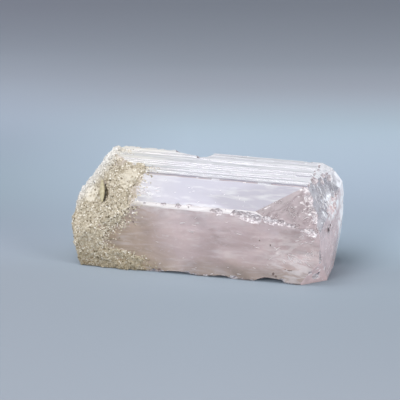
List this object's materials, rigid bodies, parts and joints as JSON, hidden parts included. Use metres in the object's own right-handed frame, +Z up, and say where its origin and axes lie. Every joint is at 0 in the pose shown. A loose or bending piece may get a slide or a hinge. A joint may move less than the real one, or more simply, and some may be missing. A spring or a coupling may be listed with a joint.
{
  "type": "danburite crystal",
  "caption": "Chunky clear pale pink prism lying on its side, with a chisel tip and a sandy druse crust over its broken base.",
  "frame": {"origin": "under the middle of the specimen's bounding box, on the surface it rests on", "axes": "+X along the crystal's long axis to its chisel tip, +Z up from the resting face, -Y is the front that the picture shows"},
  "size_m": [0.0682, 0.0252, 0.0265],
  "materials": {
    "danburite": "clear with haze, polished growth faces",
    "druse": "sugary, matt"
  },
  "bodies": {
    "root": {"danburite_crystal": "danburite", "druse_crust": "druse"}
  },
  "joints": []
}
